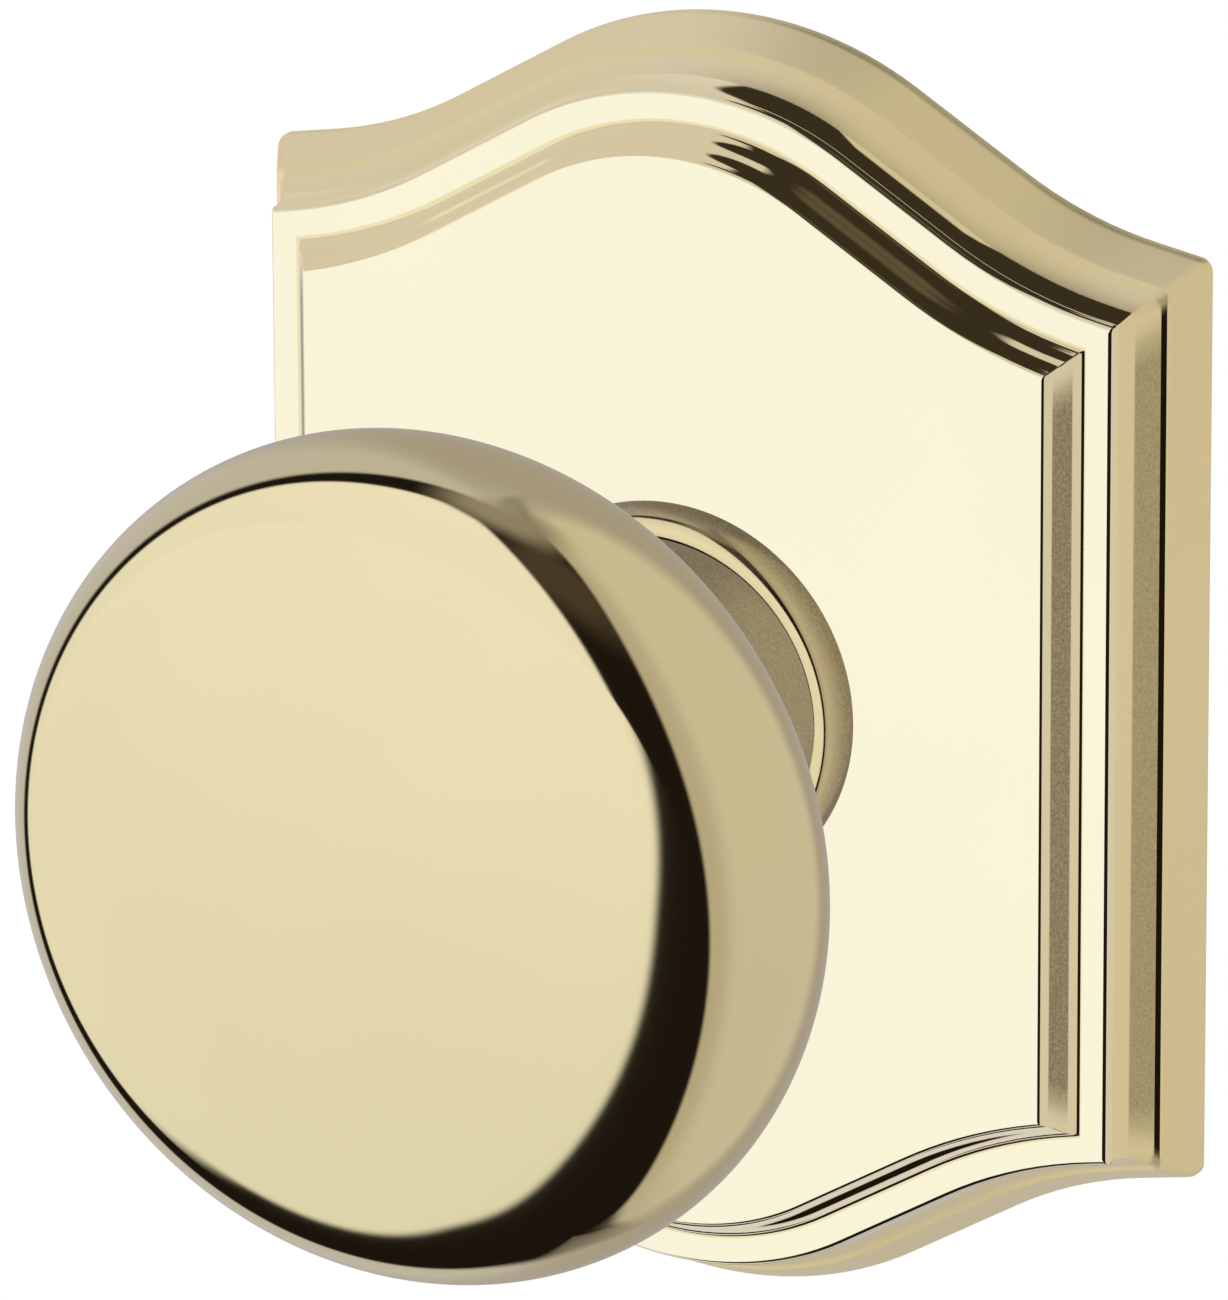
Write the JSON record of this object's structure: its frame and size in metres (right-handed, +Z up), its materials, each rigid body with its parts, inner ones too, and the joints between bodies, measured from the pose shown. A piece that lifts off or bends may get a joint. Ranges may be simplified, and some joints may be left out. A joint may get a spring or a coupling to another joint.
{
  "type": "door knob",
  "caption": "Round polished brass door knob on a waisted neck, sprung, on an arched stepped rosette with its spring cage, spindle and through-bolts.",
  "frame": {"origin": "on the knob's turning axis, in the plane of the door's face, which the rosette's rear rim lies on", "axes": "+Y along the knob's axis into the door, -Y out towards the hand, +Z up, +X to the right for someone facing the door"},
  "size_m": [0.069, 0.1126, 0.0892],
  "materials": {
    "polished_brass": "polished and lacquered",
    "knob_brass": "polished and lacquered",
    "zinc_plate": "zinc plated",
    "zinc_casting": "as cast, dull grey",
    "bronze": "sintered, oiled",
    "nylon": "natural white, satin",
    "spring_steel": "oil tempered",
    "steel": "bright steel"
  },
  "bodies": {
    "rose_assembly": {"rosette": "polished_brass", "rose_collar": "polished_brass", "mounting_plate": "zinc_plate", "spring_cage": "zinc_casting", "cage_bush": "bronze", "plate_bush": "bronze", "return_spring": "spring_steel", "stop_pin_left": "steel", "stop_pin_right": "steel", "cage_rivet_left": "steel", "cage_rivet_right": "steel", "through_bolt_top": "steel", "through_bolt_bottom": "steel", "rosette_clip_left": "spring_steel", "rosette_clip_right": "spring_steel", "rosette_clip_top": "spring_steel", "rosette_clip_bottom": "spring_steel", "clip_rivet_left": "steel", "clip_rivet_right": "steel", "clip_rivet_top": "steel", "clip_rivet_bottom": "steel"},
    "knob": {"knob_shell": "knob_brass", "knob_shank": "knob_brass", "knob_core": "zinc_casting", "core_nut": "steel", "drive_hub": "steel", "thrust_washer": "nylon", "flat_washer": "zinc_plate", "wave_washer": "spring_steel", "retaining_ring": "spring_steel", "spindle": "steel", "spindle_set_screw": "steel"}
  },
  "joints": [
    {"name": "knob_turn", "type": "hinge", "parent": "rose_assembly", "child": "knob", "pos_m": [0, 0, 0], "axis": [0, -1, 0], "range_deg": [-60, 60], "stiffness_Nm_per_rad": 0.3, "deforming": ["return_spring"]}
  ]
}
